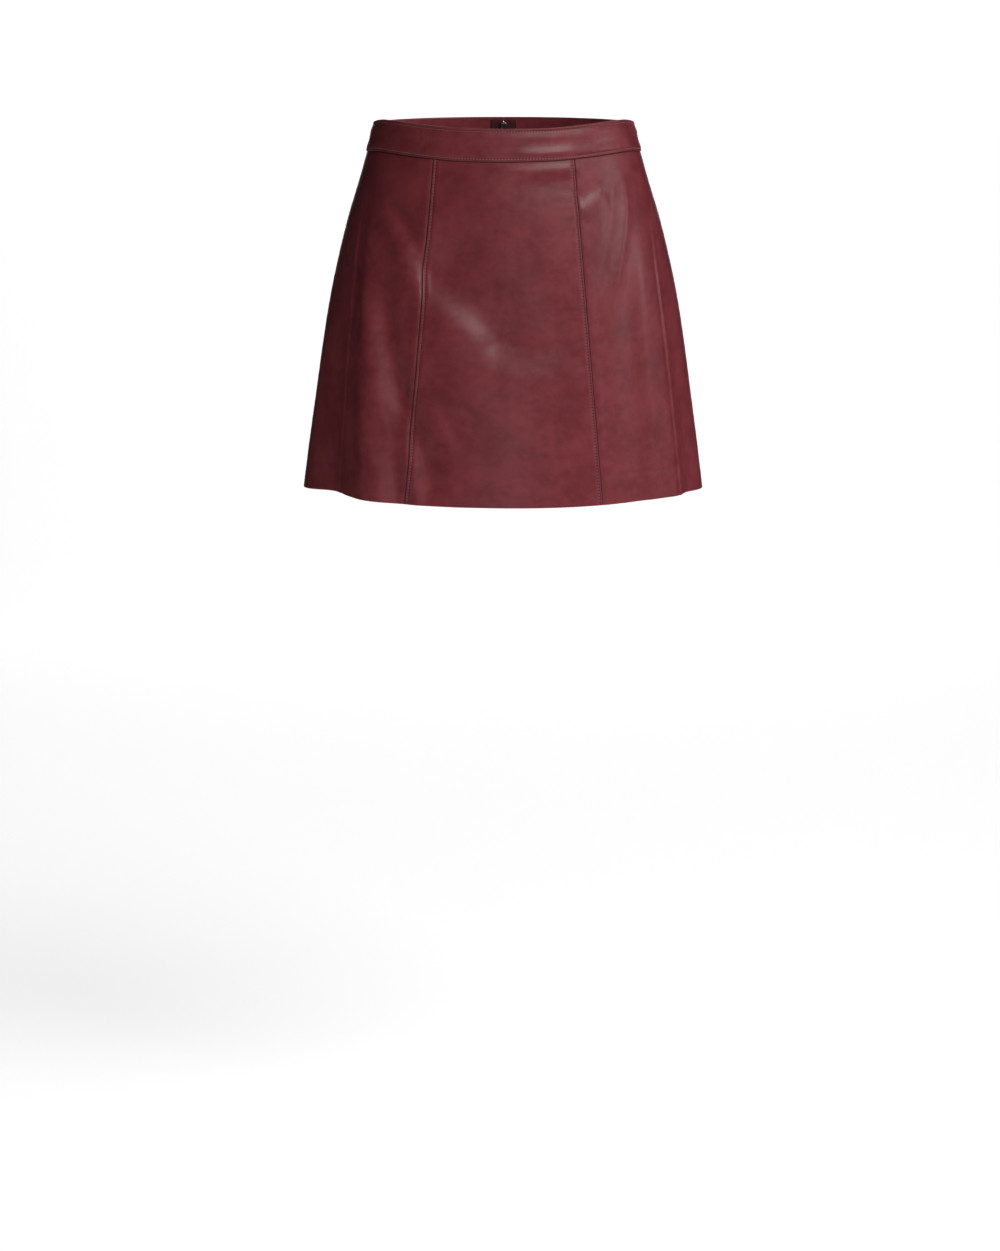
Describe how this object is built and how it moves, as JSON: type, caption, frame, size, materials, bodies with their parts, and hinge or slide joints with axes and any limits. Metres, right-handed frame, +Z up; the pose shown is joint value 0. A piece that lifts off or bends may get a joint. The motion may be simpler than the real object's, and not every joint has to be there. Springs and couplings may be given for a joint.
{
  "type": "leather skirt",
  "caption": "Short A-line skirt in soft burgundy leather, with a folded waistband, topstitched front seams and a concealed zip at the back, in its worn hollow form.",
  "frame": {"origin": "the middle of the waistband, where the wearer's waist holds the skirt: midway between the sides, on the line of the side seams, half way up the band at the centre front", "axes": "+Z up along the wearer's body, -Y out of the skirt's front, +X to the right of someone who faces the front"},
  "size_m": [0.4325, 0.301, 0.401],
  "materials": {
    "leather": "smooth semi-gloss nappa, burgundy",
    "thread": "matt twisted thread, burgundy",
    "zip_tape": "matt woven tape, dark burgundy",
    "zip_metal": "dark nickel plate"
  },
  "bodies": {
    "root": {"waistband_front": "leather", "waistband_back_left": "leather", "waistband_back_right": "leather", "panel_front_centre": "leather", "panel_front_left": "leather", "panel_front_right": "leather", "panel_back_left": "leather", "panel_back_right": "leather", "zip_tape_left": "zip_tape", "zip_tape_right": "zip_tape", "zip_stop": "zip_metal", "zip_slider": "zip_metal"},
    "pull": {"zip_pull": "zip_metal"}
  },
  "joints": [
    {"name": "zip_pull_swing", "type": "hinge", "parent": "root", "child": "pull", "pos_m": [0, 0.1009, 0.0068], "axis": [1, 0, 0], "range_deg": [0, 165]}
  ]
}
